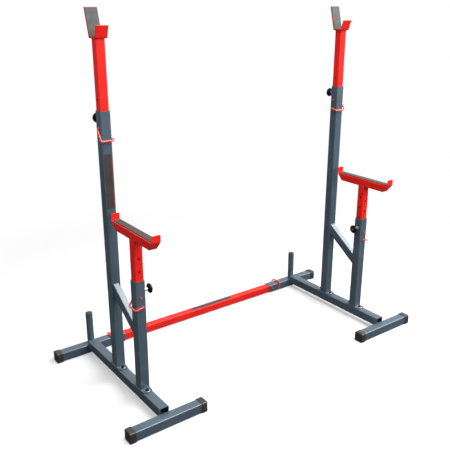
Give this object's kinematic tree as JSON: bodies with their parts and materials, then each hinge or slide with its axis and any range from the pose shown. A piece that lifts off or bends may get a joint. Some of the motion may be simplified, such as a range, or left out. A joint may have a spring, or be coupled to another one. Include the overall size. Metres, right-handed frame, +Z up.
{
  "type": "squat stand",
  "caption": "Two steel uprights with telescoping J-hooks and spotter rests on braced feet, joined by an adjustable cross bar and locked by rod clips and pull pins.",
  "frame": {"origin": "middle of the whole object's box, on the floor", "axes": "+X across the stand, from the left unit to the right one; +Y from the front feet to the cross bar; +Z up"},
  "size_m": [1.508, 0.7033, 1.4485],
  "materials": {
    "slate_powder_coat": "satin powder coat, blue-grey slate",
    "red_powder_coat": "satin powder coat, signal red",
    "red_coated_rod": "glossy coated steel rod",
    "cap_polyethylene": "moulded, fine grain",
    "grey_rubber": "matt moulded rubber",
    "zinc_plated_steel": "turned, zinc plated",
    "spring_steel": "drawn wire",
    "knob_polyamide": "moulded, satin black"
  },
  "bodies": {
    "cross_bar": {"cross_bar": "red_powder_coat"},
    "left_base": {"left_spine": "slate_powder_coat", "left_front_foot": "slate_powder_coat", "left_rear_foot": "slate_powder_coat", "left_plate_peg": "slate_powder_coat", "left_upright": "slate_powder_coat", "left_spotter_post": "slate_powder_coat", "left_brace": "slate_powder_coat", "left_front_cap_outer": "cap_polyethylene", "left_front_cap_inner": "cap_polyethylene", "left_rear_cap": "cap_polyethylene", "left_plate_peg_cap": "cap_polyethylene", "left_rack_pull_barrel": "zinc_plated_steel", "left_rack_pull_spring": "spring_steel", "left_spotter_pull_barrel": "zinc_plated_steel", "left_spotter_pull_spring": "spring_steel"},
    "left_rack": {"left_rack_slider": "red_powder_coat", "left_j_hook": "red_powder_coat", "left_j_hook_liner": "grey_rubber"},
    "left_spotter": {"left_spotter_slider": "red_powder_coat", "left_spotter_rest": "red_powder_coat", "left_spotter_pad": "grey_rubber"},
    "left_rack_pull_pin": {"left_rack_pull_plunger": "zinc_plated_steel", "left_rack_pull_knob": "knob_polyamide"},
    "left_spotter_pull_pin": {"left_spotter_pull_plunger": "zinc_plated_steel", "left_spotter_pull_knob": "knob_polyamide"},
    "left_rack_clip": {"left_rack_clip": "red_coated_rod"},
    "left_spotter_clip": {"left_spotter_clip": "red_coated_rod"},
    "left_bar_clip": {"left_bar_clip": "red_coated_rod"},
    "right_base": {"right_spine": "slate_powder_coat", "right_front_foot": "slate_powder_coat", "right_rear_foot": "slate_powder_coat", "right_plate_peg": "slate_powder_coat", "right_upright": "slate_powder_coat", "right_spotter_post": "slate_powder_coat", "right_brace": "slate_powder_coat", "right_front_cap_outer": "cap_polyethylene", "right_front_cap_inner": "cap_polyethylene", "right_rear_cap": "cap_polyethylene", "right_plate_peg_cap": "cap_polyethylene", "right_rack_pull_barrel": "zinc_plated_steel", "right_rack_pull_spring": "spring_steel", "right_spotter_pull_barrel": "zinc_plated_steel", "right_spotter_pull_spring": "spring_steel"},
    "right_rack": {"right_rack_slider": "red_powder_coat", "right_j_hook": "red_powder_coat", "right_j_hook_liner": "grey_rubber"},
    "right_spotter": {"right_spotter_slider": "red_powder_coat", "right_spotter_rest": "red_powder_coat", "right_spotter_pad": "grey_rubber"},
    "right_rack_pull_pin": {"right_rack_pull_plunger": "zinc_plated_steel", "right_rack_pull_knob": "knob_polyamide"},
    "right_spotter_pull_pin": {"right_spotter_pull_plunger": "zinc_plated_steel", "right_spotter_pull_knob": "knob_polyamide"},
    "right_rack_clip": {"right_rack_clip": "red_coated_rod"},
    "right_spotter_clip": {"right_spotter_clip": "red_coated_rod"},
    "right_bar_clip": {"right_bar_clip": "red_coated_rod"}
  },
  "joints": [
    {"name": "left_base_width", "type": "slide", "parent": "cross_bar", "child": "left_base", "axis": [-1, 0, 0], "range_m": [0, 0.15]},
    {"name": "left_rack_height", "type": "slide", "parent": "left_base", "child": "left_rack", "axis": [0, 0, 1], "range_m": [-0.1, 0.2]},
    {"name": "left_spotter_height", "type": "slide", "parent": "left_base", "child": "left_spotter", "axis": [0, 0, 1], "range_m": [-0.15, 0.15]},
    {"name": "left_rack_pull", "type": "slide", "parent": "left_base", "child": "left_rack_pull_pin", "axis": [0, 1, 0], "range_m": [0, 0.007], "stiffness_N_per_m": 900, "springref_m": -0.008, "deforming": ["left_rack_pull_spring"]},
    {"name": "left_spotter_pull", "type": "slide", "parent": "left_base", "child": "left_spotter_pull_pin", "axis": [1, 0, 0], "range_m": [0, 0.007], "stiffness_N_per_m": 900, "springref_m": -0.008, "deforming": ["left_spotter_pull_spring"]},
    {"name": "left_rack_clip_swing", "type": "hinge", "parent": "left_base", "child": "left_rack_clip", "pos_m": [-0.59, 0.04825, 1.04], "axis": [-1, 0, 0], "range_deg": [0, 115]},
    {"name": "left_spotter_clip_swing", "type": "hinge", "parent": "left_base", "child": "left_spotter_clip", "pos_m": [-0.59, -0.15025, 0.453], "axis": [0, 1, 0], "range_deg": [0, 115]},
    {"name": "left_bar_clip_swing", "type": "hinge", "parent": "left_base", "child": "left_bar_clip", "pos_m": [-0.452, 0.32275, 0.0225], "axis": [0, 1, 0], "range_deg": [0, 115]},
    {"name": "right_base_width", "type": "slide", "parent": "cross_bar", "child": "right_base", "axis": [1, 0, 0], "range_m": [0, 0.15]},
    {"name": "right_rack_height", "type": "slide", "parent": "right_base", "child": "right_rack", "axis": [0, 0, 1], "range_m": [-0.1, 0.2]},
    {"name": "right_spotter_height", "type": "slide", "parent": "right_base", "child": "right_spotter", "axis": [0, 0, 1], "range_m": [-0.15, 0.15]},
    {"name": "right_rack_pull", "type": "slide", "parent": "right_base", "child": "right_rack_pull_pin", "axis": [0, 1, 0], "range_m": [0, 0.007], "stiffness_N_per_m": 900, "springref_m": -0.008, "deforming": ["right_rack_pull_spring"]},
    {"name": "right_spotter_pull", "type": "slide", "parent": "right_base", "child": "right_spotter_pull_pin", "axis": [-1, 0, 0], "range_m": [0, 0.007], "stiffness_N_per_m": 900, "springref_m": -0.008, "deforming": ["right_spotter_pull_spring"]},
    {"name": "right_rack_clip_swing", "type": "hinge", "parent": "right_base", "child": "right_rack_clip", "pos_m": [0.59, 0.04825, 1.04], "axis": [-1, 0, 0], "range_deg": [0, 115]},
    {"name": "right_spotter_clip_swing", "type": "hinge", "parent": "right_base", "child": "right_spotter_clip", "pos_m": [0.59, -0.15025, 0.453], "axis": [0, -1, 0], "range_deg": [0, 115]},
    {"name": "right_bar_clip_swing", "type": "hinge", "parent": "right_base", "child": "right_bar_clip", "pos_m": [0.452, 0.32275, 0.0225], "axis": [0, -1, 0], "range_deg": [0, 115]}
  ]
}
